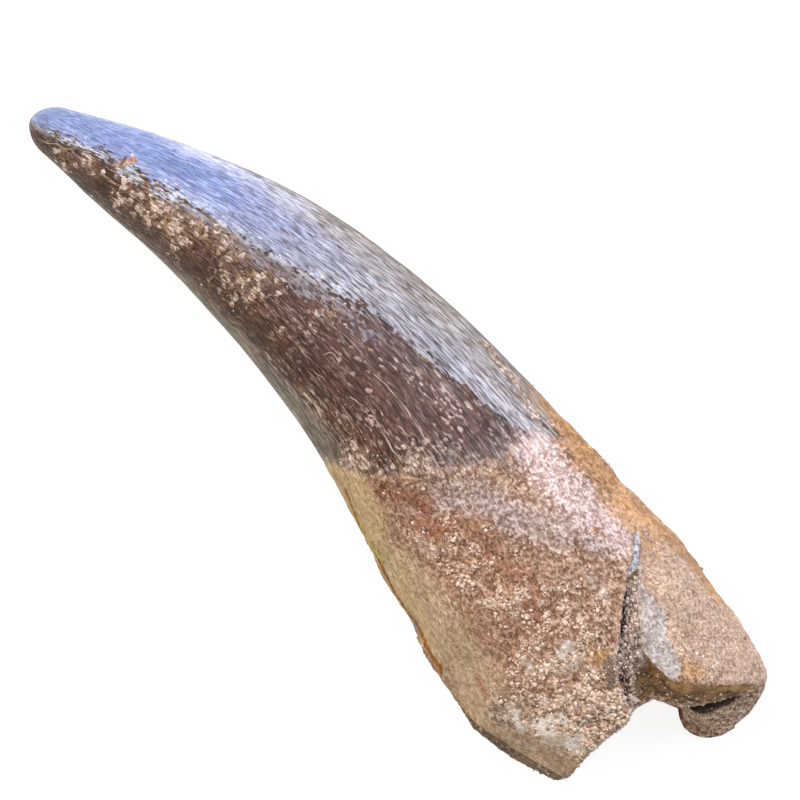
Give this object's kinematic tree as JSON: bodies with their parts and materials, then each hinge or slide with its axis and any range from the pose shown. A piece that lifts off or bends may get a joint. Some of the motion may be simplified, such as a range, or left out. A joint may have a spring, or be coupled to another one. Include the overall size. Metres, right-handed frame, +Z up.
{
  "type": "fossil plesiosaur tooth",
  "caption": "Curved, finely fluted conical fossil reptile tooth on a stout root with a cracked, broken base, lying on its side.",
  "frame": {"origin": "centre of the bounding box on the surface that the tooth lies on", "axes": "+X from the crown's tip to the broken base, +Y to the convex side of the bend, +Z up, across the tooth's thickness"},
  "size_m": [0.05, 0.0168, 0.0104],
  "materials": {
    "tooth": "phosphate-stained fossil dentine under a dark glossy enamel crown"
  },
  "bodies": {
    "root": {"tooth": "tooth"}
  },
  "joints": []
}
